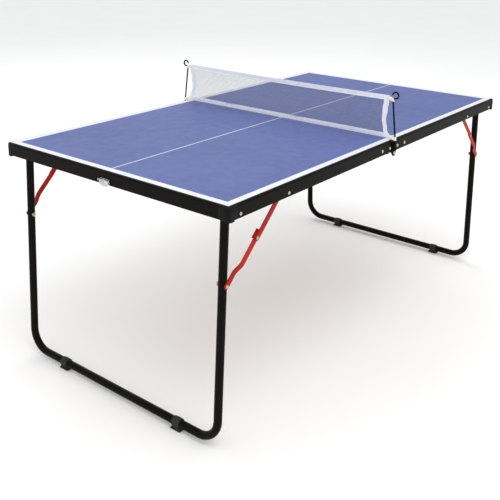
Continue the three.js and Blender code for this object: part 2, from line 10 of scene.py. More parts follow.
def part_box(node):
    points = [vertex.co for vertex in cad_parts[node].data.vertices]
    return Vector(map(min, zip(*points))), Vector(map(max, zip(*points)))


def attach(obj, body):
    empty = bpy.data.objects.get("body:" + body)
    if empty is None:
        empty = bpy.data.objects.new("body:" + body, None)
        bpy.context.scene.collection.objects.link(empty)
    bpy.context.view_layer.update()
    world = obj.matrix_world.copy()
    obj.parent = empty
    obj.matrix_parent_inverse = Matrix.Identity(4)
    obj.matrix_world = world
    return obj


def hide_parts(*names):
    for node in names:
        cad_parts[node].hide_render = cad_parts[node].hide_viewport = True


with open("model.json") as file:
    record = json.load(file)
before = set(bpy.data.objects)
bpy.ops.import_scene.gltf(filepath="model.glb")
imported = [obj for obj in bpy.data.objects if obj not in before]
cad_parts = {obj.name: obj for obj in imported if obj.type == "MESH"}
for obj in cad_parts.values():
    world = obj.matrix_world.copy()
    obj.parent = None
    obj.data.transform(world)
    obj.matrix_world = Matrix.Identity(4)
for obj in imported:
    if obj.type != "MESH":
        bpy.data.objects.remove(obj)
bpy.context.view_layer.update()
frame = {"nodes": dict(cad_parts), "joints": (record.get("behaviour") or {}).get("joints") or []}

MM = 0.001
SIDES = {"front": -1, "back": 1}
HALVES = {"left": -1, "right": 1}

# ------------------------------------------------------------------ measures from the frame

JOINTS = {joint["name"]: joint for joint in frame["joints"]}
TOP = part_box("left_board")[1].z
BOARD_END = -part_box("left_board")[0].x
BOARD_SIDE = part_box("left_board")[1].y
SEAM_EDGE = -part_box("left_board")[1].x
RAIL_OUTER = -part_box("left_front_rail")[0].y
RAIL_INNER = -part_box("left_front_rail")[1].y
RAIL_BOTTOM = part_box("left_front_rail")[0].z
TABLE_END = -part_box("left_end_rail")[0].x
LEG_PIVOT = Vector(JOINTS["right_leg_fold"]["pos_m"])
BRACE_TOP = Vector(JOINTS["right_upper_links_turn"]["pos_m"])
BRACE_FOOT = Vector(JOINTS["right_lower_links_turn"]["pos_m"])
HINGE_AXIS = Vector(JOINTS["table_fold"]["pos_m"])

TUBE_RADIUS = 11 * MM
TUBE_WALL = 1.5 * MM
BEND_RADIUS = 62 * MM
LEG_STUB = 11 * MM
LEG_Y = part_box("right_leg")[1].y - TUBE_RADIUS
BAR_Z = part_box("right_leg")[0].z + TUBE_RADIUS
BAR_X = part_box("right_leg")[1].x - TUBE_RADIUS

GAP = 0.3 * MM
PLATE = 3 * MM
LEAF = 2.5 * MM
LINE_WIDTH = 20 * MM
CENTRE_LINE_WIDTH = 3.4 * MM
LINE_LAYER = 0.15 * MM
SKIN = 0.2 * MM
UPPER_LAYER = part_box("right_back_upper_brace_link")[0].y
FOOT_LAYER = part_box("right_back_lower_brace_link")[0].y
HINGE_RIVETS_X = (22 * MM, 67 * MM)
HINGE_RIVET_Z = TOP - 22 * MM
KNEE_SPLIT = 0.4945
LINK_RADIUS = 8 * MM
JOGGLE = (35 * MM, 67 * MM)

SHANK = 3 * MM
NUT_RADIUS = 5.5 * MM
LEG_NUT_RADIUS = 6 * MM
NUT_THICKNESS = 4 * MM
THREAD_END = 1.5 * MM
SPACER_RADIUS = 6 * MM
WASHER_RADIUS = 5.5 * MM
WASHER_THICKNESS = 1.6 * MM
RAIL_RIVET_HEAD = (4.6 * MM, 2.3 * MM)
LEG_BOLT_HEAD = (5 * MM, 3 * MM)
KNEE_RIVET_HEAD = (4.5 * MM, 1.5 * MM)
LEAF_RIVET_HEAD = (5 * MM, 2.7 * MM)
FOLD_BOLT_HEAD = (6.5 * MM, 3.2 * MM)

NET_X = sum(corner.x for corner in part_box("net_panel")) / 2
NET_LOW, NET_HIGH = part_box("net_panel")[0].z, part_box("net_panel")[1].z
NET_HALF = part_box("net_panel")[1].y

POST_RADIUS = 2.5 * MM
POST_LEAN = 14 * MM
POST_TOP = 122 * MM
SLEEVE_RADIUS = 5.6 * MM
EYE_RADIUS = 9.5 * MM


# ------------------------------------------------------------------ materials

# Most of a noise texture's values lie between these two.
NOISE_LOW, NOISE_HIGH = 0.3, 0.7


def srgb(red, green, blue):
    """Linear colour of an 8-bit sRGB one."""
    def linear(value):
        share = value / 255
        return share / 12.92 if share <= 0.04045 else ((share + 0.055) / 1.055) ** 2.4
    return (linear(red), linear(green), linear(blue), 1)


class Surface:
    """A Principled material with a few procedural layers over its colour, gloss and bump."""

    def __init__(self, name, **values):
        self.material = bpy.data.materials.new(name)
        self.material.use_nodes = True
        self.nodes = self.material.node_tree.nodes
        self.links = self.material.node_tree.links
        self.shader = self.nodes["Principled BSDF"]
        self.place = self.nodes.new("ShaderNodeTexCoord").outputs["Object"]
        for socket, value in values.items():
            self.shader.inputs[socket.replace("_", " ")].default_value = value

    def noise(self, scale, detail=3.0):
        noise = self.nodes.new("ShaderNodeTexNoise")
        noise.inputs["Scale"].default_value = scale
        noise.inputs["Detail"].default_value = detail
        self.links.new(self.place, noise.inputs["Vector"])
        return noise.outputs["Fac"]

    def ramp(self, source, stops):
        ramp = self.nodes.new("ShaderNodeValToRGB")
        elements = ramp.color_ramp.elements
        while len(elements) < len(stops):
            elements.new(0.5)
        for element, (place, colour) in zip(elements, stops):
            element.position = place
            element.color = colour
        self.links.new(source, ramp.inputs["Fac"])
        return ramp.outputs["Color"]

    def tint(self, source, low, high):
        colours = self.ramp(source, [(NOISE_LOW, low), (NOISE_HIGH, high)])
        self.links.new(colours, self.shader.inputs["Base Color"])
        return self

    def gloss(self, source, low, high):
        spread = self.nodes.new("ShaderNodeMapRange")
        spread.inputs["From Min"].default_value = NOISE_LOW
        spread.inputs["From Max"].default_value = NOISE_HIGH
        spread.inputs["To Min"].default_value = low
        spread.inputs["To Max"].default_value = high
        self.links.new(source, spread.inputs["Value"])
        self.links.new(spread.outputs["Result"], self.shader.inputs["Roughness"])
        return self

    def bump(self, source, height, strength=0.5):
        bump = self.nodes.new("ShaderNodeBump")
        bump.inputs["Strength"].default_value = strength
        bump.inputs["Distance"].default_value = height
        self.links.new(source, bump.inputs["Height"])
        self.links.new(bump.outputs["Normal"], self.shader.inputs["Normal"])
        return self


def scaled(colour, factor):
    """A colour made darker or lighter."""
    return (colour[0] * factor, colour[1] * factor, colour[2] * factor, 1)


def blue_paint():
    surface = Surface("blue_paint", Specular_IOR_Level=0.2)
    colour = srgb(80, 94, 151)
    surface.tint(surface.noise(3.0, 4.0), scaled(colour, 0.94), scaled(colour, 1.06))
    surface.gloss(surface.noise(40.0), 0.46, 0.56)
    return surface.bump(surface.noise(900.0, 2.0), 0.1 * MM, 0.35).material


def line_paint():
    surface = Surface("line_paint", Specular_IOR_Level=0.25)
    colour = srgb(216, 221, 227)
    surface.tint(surface.noise(60.0), scaled(colour, 0.96), colour)
    surface.gloss(surface.noise(30.0), 0.38, 0.5)
    return surface.bump(surface.noise(700.0), 0.05 * MM, 0.3).material


def hardboard():
    surface = Surface("hardboard")
    surface.tint(surface.noise(350.0, 6.0), srgb(122, 92, 62), srgb(166, 132, 94))
    surface.gloss(surface.noise(80.0), 0.72, 0.88)
    return surface.bump(surface.noise(500.0, 5.0), 0.2 * MM).material


def powder_coat(name, colour, low, high, shine):
    surface = Surface(name, Specular_IOR_Level=shine)
    surface.tint(surface.noise(14.0, 5.0), scaled(colour, 0.8), scaled(colour, 1.2))
    surface.gloss(surface.noise(120.0), low, high)
    return surface.bump(surface.noise(1400.0, 2.0), 0.06 * MM, 0.5).material


def moulded_plastic():
    surface = Surface("moulded_plastic", Specular_IOR_Level=0.1)
    surface.tint(surface.noise(30.0), srgb(13, 13, 13), srgb(23, 22, 21))
    surface.gloss(surface.noise(200.0), 0.42, 0.6)
    return surface.bump(surface.noise(1800.0, 2.0), 0.08 * MM, 0.6).material


def foot_rubber():
    surface = Surface("foot_rubber")
    surface.tint(surface.noise(60.0), srgb(16, 16, 16), srgb(34, 33, 32))
    surface.gloss(surface.noise(150.0), 0.7, 0.88)
    return surface.bump(surface.noise(900.0, 4.0), 0.15 * MM, 0.6).material


def bright_metal(name, colour, low, high, scale=300.0):
    surface = Surface(name, Metallic=1.0)
    surface.tint(surface.noise(scale), scaled(colour, 0.85), colour)
    surface.gloss(surface.noise(scale * 0.7), low, high)
    return surface.bump(surface.noise(scale * 3, 2.0), 0.02 * MM, 0.4).material


def woven_tape(name, colour):
    surface = Surface(name, Roughness=0.85, Sheen_Weight=0.25)
    weave = surface.nodes.new("ShaderNodeTexWave")
    weave.inputs["Scale"].default_value = 260.0
    weave.bands_direction = "DIAGONAL"
    surface.links.new(surface.place, weave.inputs["Vector"])
    surface.tint(surface.noise(90.0), scaled(colour, 0.9), colour)
    return surface.bump(weave.outputs["Fac"], 0.15 * MM, 0.5).material


def net_thread_painted_shade():
    surface = Surface("net_thread_painted_shade", Roughness=0.8, Sheen_Weight=0.3)
    # The real threads are white; this darker grey-blue is painted shade that stands in for the
    # shade on the net's threads.
    colour = srgb(114, 121, 140)
    surface.tint(surface.noise(200.0), scaled(colour, 0.8), colour)
    return surface.bump(surface.noise(2500.0, 2.0), 0.1 * MM, 0.5).material


BLUE = blue_paint()
WHITE = line_paint()
HARDBOARD = hardboard()
BLACK = powder_coat("black_powder_coat", srgb(16, 14, 10), 0.3, 0.42, 0.05)
RED = powder_coat("red_powder_coat", srgb(172, 25, 10), 0.36, 0.48, 0.14)
PLASTIC = moulded_plastic()
RUBBER = foot_rubber()
ZINC = bright_metal("zinc_plate", srgb(194, 186, 163), 0.2, 0.36)
CHROME = bright_metal("chrome_plate", srgb(205, 206, 204), 0.06, 0.16, 60.0)
TAPE = woven_tape("woven_tape", srgb(236, 238, 246))
HEM = woven_tape("woven_hem", srgb(246, 248, 252))
CORD = woven_tape("twisted_cord", srgb(240, 238, 228))
THREAD_PAINTED_SHADE = net_thread_painted_shade()


# ------------------------------------------------------------------ mesh tools

def show_smooth(mesh, angle=35):
    mesh.polygons.foreach_set("use_smooth", [True] * len(mesh.polygons))
    mesh.set_sharp_from_angle(angle=math.radians(angle))


def piece(name, mesh, body, material, replaced=(), angle=35):
    """A new visible piece that rides on a body."""
    mesh.materials.clear()
    mesh.materials.append(material)
    show_smooth(mesh, angle)
    made = bpy.data.objects.new(name, mesh)
    bpy.context.scene.collection.objects.link(made)
    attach(made, body)
    if replaced:
        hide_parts(*replaced)
    return made


def mesh_from(name, build):
    """A mesh made by a function that fills a bmesh."""
    work = bmesh.new()
    build(work)
    bmesh.ops.recalc_face_normals(work, faces=work.faces)
    mesh = bpy.data.meshes.new(name)
    work.to_mesh(mesh)
    work.free()
    return mesh


def add_from(work, other):
    """Moves everything in another bmesh into this one."""
    spare = bpy.data.meshes.new("spare")
    other.to_mesh(spare)
    other.free()
    work.from_mesh(spare)
    bpy.data.meshes.remove(spare)


def add_slab(work, low, high, bevel=0.0, segments=3):
    """A box between two corners with rounded edges."""
    low, high = Vector(map(min, low, high)), Vector(map(max, low, high))
    middle, size = (low + high) / 2, high - low
    matrix = Matrix.Translation(middle) @ Matrix.Diagonal((*size, 1))
    made = bmesh.ops.create_cube(work, size=1.0, matrix=matrix)
    if bevel > 0:
        edges = {edge for vert in made["verts"] for edge in vert.link_edges}
        bmesh.ops.bevel(
            work, geom=list(edges), offset=bevel, segments=segments, profile=0.5, affect="EDGES"
        )


def add_lathe(work, profile, origin, axis, segments=32):
    """Turns a profile of (radius, height) points about an axis; its ends lie on the axis."""
    turn = Vector((0, 0, 1)).rotation_difference(Vector(axis)).to_matrix()
    rings = []
    for radius, height in profile:
        if radius == 0:
            rings.append([work.verts.new(Vector(origin) + turn @ Vector((0, 0, height)))])
            continue
        angles = [2 * math.pi * step / segments for step in range(segments)]
        rings.append([
            work.verts.new(
                Vector(origin) + turn @ Vector((radius * math.cos(a), radius * math.sin(a), height))
            )
            for a in angles
        ])
    for lower, upper in zip(rings, rings[1:]):
        for step in range(segments):
            after = (step + 1) % segments
            corners = [
                lower[step % len(lower)], lower[after % len(lower)],
                upper[after % len(upper)], upper[step % len(upper)],
            ]
            face = list(dict.fromkeys(corners))
            if len(face) > 2:
                work.faces.new(face)


def add_ring_lathe(work, profile, origin, axis, segments=32):
    """Turns a closed profile that stays off the axis, as for a collar."""
    turn = Vector((0, 0, 1)).rotation_difference(Vector(axis)).to_matrix()
    rings = [
        [
            work.verts.new(Vector(origin) + turn @ Vector((
                radius * math.cos(2 * math.pi * step / segments),
                radius * math.sin(2 * math.pi * step / segments),
                height,
            )))
            for step in range(segments)
        ]
        for radius, height in profile
    ]
    for index, lower in enumerate(rings):
        upper = rings[(index + 1) % len(rings)]
        for step in range(segments):
            after = (step + 1) % segments
            work.faces.new([lower[step], lower[after], upper[after], upper[step]])


def add_tube(work, points, radius, sides=24, inner=0.0, closed=False):
    """Sweeps a round section along a path without twist; open ends are closed off."""
    points = [Vector(point) for point in points]
    count = len(points)
    tangents = []
    for index in range(count):
        if closed:
            before, after = points[index - 1], points[(index + 1) % count]
        else:
            before, after = points[max(index - 1, 0)], points[min(index + 1, count - 1)]
        tangents.append((after - before).normalized())
    normal = tangents[0].orthogonal().normalized()
    frames = []
    for tangent in tangents:
        normal = (normal - tangent * normal.dot(tangent)).normalized()
        frames.append((normal.copy(), tangent.cross(normal)))

    def ring_at(index, size):
        across, up = frames[index]
        return [
            work.verts.new(points[index] + (across * math.cos(a) + up * math.sin(a)) * size)
            for a in (2 * math.pi * step / sides for step in range(sides))
        ]

    def skin(rings):
        pairs = list(zip(rings, rings[1:]))
        if closed:
            pairs.append((rings[-1], rings[0]))
        for lower, upper in pairs:
            for step in range(sides):
                after = (step + 1) % sides
                work.faces.new([lower[step], lower[after], upper[after], upper[step]])

    outer_rings = [ring_at(index, radius) for index in range(count)]
    skin(outer_rings)
    if closed:
        return
    if inner > 0:
        inner_rings = [ring_at(index, inner) for index in range(count)]
        skin(inner_rings)
        for end in (0, -1):
            for step in range(sides):
                after = (step + 1) % sides
                rim = [outer_rings[end][step], outer_rings[end][after]]
                work.faces.new(rim + [inner_rings[end][after], inner_rings[end][step]])
    else:
        for end in (0, -1):
            work.faces.new(outer_rings[end])


def arc(centre, radius, start, end, count, across=Vector((0, 1, 0)), up=Vector((0, 0, 1))):
    """Points on an arc, in degrees from across towards up."""
    angles = [math.radians(start + (end - start) * step / count) for step in range(count + 1)]
    return [Vector(centre) + (across * math.cos(a) + up * math.sin(a)) * radius for a in angles]


def mirrored(point, half):
    """A point of the right half, taken to the named half."""
    return Vector((point.x * HALVES[half], point.y, point.z))


# ------------------------------------------------------------------ table top

def playing_surface(half):
    """The blue paint over a half's board."""
    sign = HALVES[half]

    def build(work):
        add_slab(
            work,
            (sign * SEAM_EDGE, -BOARD_SIDE, TOP),
            (sign * BOARD_END, BOARD_SIDE, TOP + SKIN),
        )
    mesh = mesh_from("surface", build)
    piece(f"{half}_playing_surface", mesh, f"{half}_half", BLUE)


def white_lines(half):
    """End line, two side lines and the fine centre line, printed a hair proud of the blue."""
    sign = HALVES[half]
    low, high = TOP + SKIN, TOP + SKIN + LINE_LAYER
    end_inner = BOARD_END - LINE_WIDTH
    side_inner = BOARD_SIDE - LINE_WIDTH

    def build(work):
        add_slab(work, (sign * end_inner, -BOARD_SIDE, low), (sign * BOARD_END, BOARD_SIDE, high))
        for side in SIDES.values():
            add_slab(
                work,
                (sign * SEAM_EDGE, side * side_inner, low),
                (sign * end_inner, side * BOARD_SIDE, high),
            )
        half_line = CENTRE_LINE_WIDTH / 2
        add_slab(work, (sign * SEAM_EDGE, -half_line, low), (sign * end_inner, half_line, high))
    piece(f"{half}_white_lines", mesh_from("lines", build), f"{half}_half", WHITE)


def add_prism(work, outline, low, high, bevel=0.0):
    """An upright prism on an outline of (x, y) points, with slightly rounded edges."""
    rings = [[work.verts.new((x, y, z)) for x, y in outline] for z in (low, high)]
    faces = [work.faces.new(ring) for ring in rings]
    for k in range(len(outline)):
        after = (k + 1) % len(outline)
        faces.append(work.faces.new([rings[0][k], rings[0][after], rings[1][after], rings[1][k]]))
    if bevel > 0:
        rims = [edge for face in faces[:2] for edge in face.edges]
        bmesh.ops.bevel(work, geom=rims, offset=bevel, segments=3, profile=0.5, affect="EDGES")


def corner_skirt(half, edge):
    """The moulded block of a corner cap: it stands proud of the rails and ends below them."""
    sign, side = HALVES[half], SIDES[edge]
    proud, radius, width, wall = 0.8 * MM, 9.8 * MM, 20 * MM, 0.7 * MM
    base_low, base_high = RAIL_BOTTOM - 3.5 * MM, RAIL_BOTTOM - 0.2 * MM
    shell_low, shell_high = RAIL_BOTTOM - 0.6 * MM, TOP - 7 * MM

    def bend(size):
        angles = [math.pi / 2 * step / 8 for step in range(9)]
        return [(radius - size * math.cos(a), radius - size * math.sin(a)) for a in angles]

    def placed(outline):
        return [
            (sign * (TABLE_END + proud - u), side * (RAIL_OUTER + proud - v)) for u, v in outline
        ]
    outside = [(0, width)] + bend(radius) + [(width, 0)]
    inside = [(width, wall)] + bend(radius - wall)[::-1] + [(wall, width)]

    def build(work):
        add_prism(work, placed(outside + inside), shell_low, shell_high, 0.15 * MM)
        add_prism(work, placed(outside + [(width, width)]), base_low, base_high, 1.2 * MM)
    mesh = mesh_from("skirt", build)
    piece(f"{half}_{edge}_corner_skirt", mesh, f"{half}_half", PLASTIC)


# ------------------------------------------------------------------ legs

def leg_tube(half):
    """The bent tube of a leg: down one side, round two bends and up the other."""
    pivot = mirrored(LEG_PIVOT, half)
    foot = mirrored(Vector((BAR_X, 0, BAR_Z)), half)
    down = (foot - pivot).normalized()
    stub = pivot - down * LEG_STUB
    corner = foot - down * BEND_RADIUS
    bend_y = LEG_Y - BEND_RADIUS
    across = Vector((0, 1, 0))
    path = [stub - across * LEG_Y, pivot - across * LEG_Y]
    straight = corner - pivot
    path += [pivot + straight * share - across * LEG_Y for share in (0.25, 0.5, 0.75)]
    path += arc(corner - across * bend_y, BEND_RADIUS, 180, 90, 14, across, down)
    path += arc(corner + across * bend_y, BEND_RADIUS, 90, 0, 14, across, down)
    path += [pivot + straight * share + across * LEG_Y for share in (0.75, 0.5, 0.25)]
    path += [pivot + across * LEG_Y, stub + across * LEG_Y]

    def build(work):
        add_tube(work, path, TUBE_RADIUS, 32, TUBE_RADIUS - TUBE_WALL)
    mesh = mesh_from("leg", build)
    piece(f"{half}_leg_tube", mesh, f"{half}_leg_set", BLACK, [f"{half}_leg"])


def foot_collar():
    """Profile of a foot's collar, with a raised band round its middle."""
    outer, inner = TUBE_RADIUS + 2.5 * MM, TUBE_RADIUS + 0.2 * MM
    reach, edge = 13 * MM, 1 * MM
    band, band_reach, band_end = outer + 0.6 * MM, 3 * MM, 4 * MM
    return [
        (inner, -reach), (outer - edge, -reach), (outer, -reach + edge),
        (outer, -band_end), (band, -band_reach), (band, band_reach), (outer, band_end),
        (outer, reach - edge), (outer - edge, reach), (inner, reach),
    ]


def rubber_foot(half, edge):
    """Collar round the bottom bar with a wide ribbed sole."""
    bar_x = mirrored(Vector((BAR_X, 0, BAR_Z)), half).x
    bar_y = sum(corner.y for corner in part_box(f"{half}_{edge}_foot")) / 2
    sole_x, sole_y, sole_bottom = 12 * MM, 17 * MM, 0.6 * MM
    rib_x, rib_y, rib_top, rib_pitch = 10 * MM, 2.5 * MM, 2 * MM, 9 * MM

    def build(work):
        add_ring_lathe(work, foot_collar(), (bar_x, bar_y, BAR_Z), (0, 1, 0))
        for share, top in ((1.0, 3.2 * MM), (0.86, 7.5 * MM)):
            low = (bar_x - sole_x * share, bar_y - sole_y * share, sole_bottom)
            high = (bar_x + sole_x * share, bar_y + sole_y * share, top)
            add_slab(work, low, high, 1.2 * MM)
        for rib in (-1, 0, 1):
            y = bar_y + rib * rib_pitch
            low, high = (bar_x - rib_x, y - rib_y, 0), (bar_x + rib_x, y + rib_y, rib_top)
            add_slab(work, low, high, 0.5 * MM, 2)
    name = f"{half}_{edge}"
    mesh = mesh_from("foot", build)
    piece(f"{name}_rubber_foot", mesh, f"{half}_leg_set", RUBBER, [f"{name}_foot"])


# ------------------------------------------------------------------ braces

def add_strap(work, length, radius, outward_at=lambda x: 0, steps=56):
    """A strip of steel with round ends along +X; outward_at gives how far along +Z it lies."""
    start, end = -radius, length + radius
    columns = []
    for step in range(steps + 1):
        turn = math.pi * step / steps
        x = (start + end) / 2 - (end - start) / 2 * math.cos(turn)
        over = max(0.0, -x, x - length)
        half = math.sqrt(max(radius * radius - over * over, 1e-10))
        columns.append((x, half))
    rows = (-1, -0.94, -0.5, 0, 0.5, 0.94, 1)

    def sheet(level, inset):
        return [
            [
                work.verts.new((x, row * max(half - inset, 1e-5), outward_at(x) + level))
                for row in rows
            ]
            for x, half in columns
        ]

    bevel = 0.5 * MM
    layers = [sheet(0, bevel), sheet(bevel, 0), sheet(PLATE - bevel, 0), sheet(PLATE, bevel)]
    bottom, top = layers[0], layers[-1]
    for index in range(steps):
        for row in range(len(rows) - 1):
            for layer in (bottom, top):
                work.faces.new([
                    layer[index][row], layer[index + 1][row],
                    layer[index + 1][row + 1], layer[index][row + 1],
                ])
        for lower, upper in zip(layers, layers[1:]):
            for row in (0, -1):
                work.faces.new([
                    lower[index][row], lower[index + 1][row],
                    upper[index + 1][row], upper[index][row],
                ])
    for lower, upper in zip(layers, layers[1:]):
        for index in (0, -1):
            for row in range(len(rows) - 1):
                work.faces.new([
                    lower[index][row], lower[index][row + 1],
                    upper[index][row + 1], upper[index][row],
                ])


def smooth_step(x, start, end, height):
    """A soft rise from 0 to a height between two places."""
    share = min(1.0, max(0.0, (x - start) / (end - start)))
    return height * share * share * (3 - 2 * share)


def link_place(start, end, side, layer):
    """Takes a link drawn along +X, outer face towards +Z, to its place beside a leg."""
    along = (end - start).normalized()
    outward = Vector((0, side, 0))
    across = outward.cross(along)
    matrix = Matrix((along, across, outward)).transposed().to_4x4()
    matrix.translation = Vector((start.x, side * layer, start.z))
    return matrix


def add_stop(work, knee_at, side, step):
    """The stop at a lower link's knee: a broadened plate with a flange folded inward."""
    before, length, offset = 3 * MM, 17 * MM, 1 * MM
    flange_before, flange_after, flange_near, flange_far = 7 * MM, 20 * MM, 6.8 * MM, 9.4 * MM
    stop = bmesh.new()
    add_strap(stop, length, LINK_RADIUS, steps=32)
    start = (knee_at - before, side * offset, step - 0.02 * MM)
    stop.transform(Matrix.Translation(start))
    low = (knee_at - flange_before, side * flange_near, step - 4.5 * MM)
    high = (knee_at + flange_after, side * flange_far, step + PLATE - 0.1 * MM)
    add_slab(stop, low, high, 0.9 * MM)
    add_from(work, stop)


def brace(half, edge):
    """The two links of a brace: a flat upper one and a lower one that steps out from the leg."""
    side = SIDES[edge]
    name = f"{half}_{edge}"
    top, foot = mirrored(BRACE_TOP, half), mirrored(BRACE_FOOT, half)
    knee = top.lerp(foot, KNEE_SPLIT)
    upper_length, lower_length = (top - knee).length, (foot - knee).length
    step = UPPER_LAYER - GAP - PLATE - FOOT_LAYER

    def upper(work):
        add_strap(work, upper_length, LINK_RADIUS)
        work.transform(link_place(top, knee, side, UPPER_LAYER))

    def lower(work):
        add_strap(work, lower_length, LINK_RADIUS, lambda x: smooth_step(x, *JOGGLE, step))
        add_stop(work, lower_length, side * HALVES[half], step)
        work.transform(link_place(foot, knee, side, FOOT_LAYER))

    for level, build in (("upper", upper), ("lower", lower)):
        mesh = mesh_from(f"{level}_link", build)
        body, replaced = f"{half}_{level}_links", [f"{name}_{level}_brace_link"]
        piece(f"{name}_{level}_link", mesh, body, RED, replaced)


# ------------------------------------------------------------------ rivets and bolts

def head(radius, height, base):
    """Profile of a domed head with a thin rim, from its flat side to its crown."""
    return [
        (radius, base), (radius, base + 0.25 * height), (0.93 * radius, base + 0.5 * height),
        (0.78 * radius, base + 0.72 * height), (0.52 * radius, base + 0.9 * height),
        (0.25 * radius, base + 0.98 * height), (0, base + height),
    ]


def collar_profile(radius, low, high):
    """Profile of a nut, washer or spacer round a shank, with eased edges."""
    edge = 0.3 * MM
    return [
        (SHANK, low), (radius - edge, low), (radius, low + edge),
        (radius, high - edge), (radius - edge, high), (SHANK, high),
    ]


def nut_profile(inner, radius=NUT_RADIUS):
    """Shank end and nut on the middle side of a part, with the nut's flat face at `inner`."""
    base = inner - NUT_THICKNESS
    start = [(0, base - THREAD_END), (SHANK, base - THREAD_END)]
    return start + collar_profile(radius, base, inner)


def fastener(name, profile, at, side, body, replaced):
    """A turned fastener along Y, whose profile's heights count from the table's middle."""
    def build(work):
        add_lathe(work, profile, (at.x, 0, at.z), (0, side, 0), 32)
    piece(name, mesh_from("fastener", build), body, ZINC, replaced, 30)


def leg_fasteners(half, edge):
    """The leg's pivot bolt and the brace's rail rivet, leg bolt and knee rivet."""
    side, name = SIDES[edge], f"{half}_{edge}"
    tube_in, tube_out = LEG_Y - TUBE_RADIUS, LEG_Y + TUBE_RADIUS
    outside, spacer_end = RAIL_OUTER + GAP, RAIL_INNER - GAP

    nut_base = tube_in - GAP - NUT_THICKNESS
    pivot = [(0, nut_base)] + collar_profile(NUT_RADIUS, nut_base, tube_in - GAP)[1:]
    pivot += collar_profile(SPACER_RADIUS, tube_out + GAP, spacer_end)
    pivot += [(SHANK, outside)] + head(*RAIL_RIVET_HEAD, outside)
    at = mirrored(LEG_PIVOT, half)
    fastener(f"{name}_pivot_bolt", pivot, at, side, f"{half}_half", [f"{name}_leg_pivot_bolt"])

    inner = UPPER_LAYER - GAP
    washer_base = inner - WASHER_THICKNESS
    rivet = [(0, washer_base)] + collar_profile(WASHER_RADIUS, washer_base, inner)[1:]
    rivet += collar_profile(WASHER_RADIUS, UPPER_LAYER + PLATE + GAP, spacer_end)
    rivet += [(SHANK, outside)] + head(*RAIL_RIVET_HEAD, outside)
    at = mirrored(BRACE_TOP, half)
    fastener(f"{name}_rail_rivet", rivet, at, side, f"{half}_half", [f"{name}_brace_rail_rivet"])

    outer = FOOT_LAYER + PLATE + GAP
    bolt = nut_profile(tube_in - GAP, LEG_NUT_RADIUS)
    bolt += [(SHANK, outer)] + head(*LEG_BOLT_HEAD, outer)
    at = mirrored(BRACE_FOOT, half)
    fastener(f"{name}_leg_bolt", bolt, at, side, f"{half}_leg_set", [f"{name}_brace_leg_bolt"])

    at = mirrored(BRACE_TOP.lerp(BRACE_FOOT, KNEE_SPLIT), half)
    bottom, base = UPPER_LAYER + 0.1 * MM, UPPER_LAYER + PLATE + GAP / 2
    rivet = [(0, bottom), (SHANK, bottom), (SHANK, base)] + head(*KNEE_RIVET_HEAD, base)
    body, replaced = f"{half}_upper_links", [f"{name}_brace_knee_rivet"]
    fastener(f"{name}_knee_rivet", rivet, at, side, body, replaced)


def hinge_rivets(half, edge):
    """Bright domes over the ends of the hinge leaf's rivets."""
    side = SIDES[edge]
    base = RAIL_OUTER + 0.1 * MM
    for number, x in enumerate(HINGE_RIVETS_X, start=1):
        at = Vector((HALVES[half] * x, 0, HINGE_RIVET_Z))
        profile = [(0, base)] + head(*LEAF_RIVET_HEAD, base)
        name = f"{half}_{edge}_hinge_rivet_{number}"
        fastener(name, profile, at, side, f"{half}_half", ())


def fold_bolt(edge):
    """The bolt that the right half folds on, through the net bracket and both hinge ears."""
    outer = RAIL_OUTER + 2 * GAP + LEAF
    inner = RAIL_INNER - 3 * GAP - 2 * LEAF
    profile = nut_profile(inner) + [(SHANK, outer)] + head(*FOLD_BOLT_HEAD, outer)
    name, replaced = f"{edge}_fold_bolt", [f"{edge}_fold_hinge_bolt"]
    fastener(name, profile, HINGE_AXIS, SIDES[edge], "left_half", replaced)


# ------------------------------------------------------------------ net

CELL = 4.2 * MM
THREAD_HALF_WIDTHS = (0.38 * MM, 0.32 * MM)
THREAD_THICKNESS = 0.35 * MM
NET_SAG = 2.5 * MM
NET_SWAY = 2.2 * MM
TAPE_WIDTH = 14 * MM
TAPE_THICKNESS = 1.3 * MM
HEM_WIDTH = 3.2 * MM
HEM_THICKNESS = 1.9 * MM

# Places up the net (0 to 1), with how far its end is pulled in there and how wide its side
# tape is, in millimetres.
EDGE_PULL = ((0, 0), (0.2, 8), (0.42, 13.6), (0.67, 9.5), (0.87, 6.5), (1, 6))
SIDE_TAPE_WIDTH = ((0, 16), (0.2, 13), (0.42, 13), (0.67, 17), (1, 17))


def read_off(table, share):
    """Smooth value between a table's places, in metres from its millimetres."""
    for (low, before), (high, after) in zip(table, table[1:]):
        if share <= high:
            along = max(0.0, (share - low) / (high - low))
            return (before + (after - before) * along * along * (3 - 2 * along)) * MM
    return table[-1][1] * MM


def net_sway(y, share):
    """The net's small waves out of its plane."""
    wave = 0.6 * math.sin(y * 19.0) + 0.4 * math.sin(y * 47.0 + 1.3)
    return NET_SWAY * wave * math.sin(math.pi * share)


def net_drop(y):
    """The slight sag of the top tape between the posts."""
    return NET_SAG * (1 - (y / NET_HALF) ** 2)


def net_point(y_share, z_share):
    """A point of the net from its shares of the width (-1 to 1) and of the height (0 to 1)."""
    y = y_share * (NET_HALF - read_off(EDGE_PULL, z_share))
    z = NET_LOW + (NET_HIGH - NET_LOW) * z_share - net_drop(y) * z_share
    return Vector((NET_X + net_sway(y, z_share), y, z))


